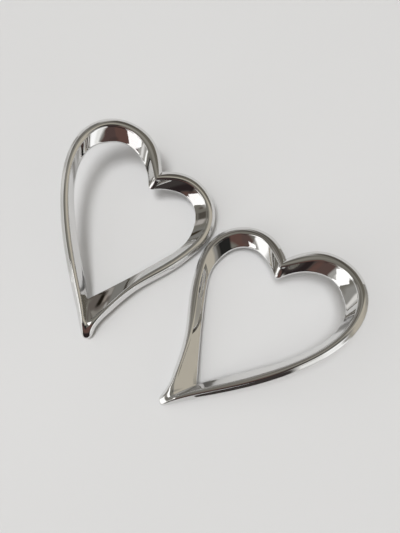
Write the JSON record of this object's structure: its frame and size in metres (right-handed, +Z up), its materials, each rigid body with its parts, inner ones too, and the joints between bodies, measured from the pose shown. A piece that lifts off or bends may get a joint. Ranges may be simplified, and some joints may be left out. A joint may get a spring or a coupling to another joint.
{
  "type": "heart stud earrings",
  "caption": "Mirror-image pair of large open heart ear studs, each a hollow-backed bevelled band on a thin grooved post that holds a sliding scroll clutch.",
  "frame": {"origin": "The middle of the pair's footprint, on the flat surface the earrings lie on.", "axes": "+Z is up, away from the surface. The polished faces look up, leaning away from their posts. +X runs from the left earring to the right one, and +Y is away from the viewer of the pair."},
  "size_m": [0.0724, 0.0704, 0.0135],
  "materials": {
    "polished_metal": "mirror polished white metal",
    "finding_metal": "bright drawn wire and sheet"
  },
  "bodies": {
    "left_earring": {"left_heart_frame": "polished_metal", "left_post_plate": "finding_metal", "left_ear_post": "finding_metal"},
    "left_clutch": {"left_clutch": "finding_metal"},
    "right_earring": {"right_heart_frame": "polished_metal", "right_post_plate": "finding_metal", "right_ear_post": "finding_metal"},
    "right_clutch": {"right_clutch": "finding_metal"}
  },
  "joints": [
    {"name": "left_clutch_slide", "type": "slide", "parent": "left_earring", "child": "left_clutch", "axis": [-0.1718, 0.2059, -0.9634], "range_m": [-0.001, 0.0079]},
    {"name": "right_clutch_slide", "type": "slide", "parent": "right_earring", "child": "right_clutch", "axis": [0.2585, -0.0714, -0.9634], "range_m": [-0.001, 0.0079]},
    {"name": "right_earring_lift", "type": "slide", "parent": "left_earring", "child": "right_earring", "axis": [0, 0, 1], "range_m": [0, 0.04]}
  ]
}
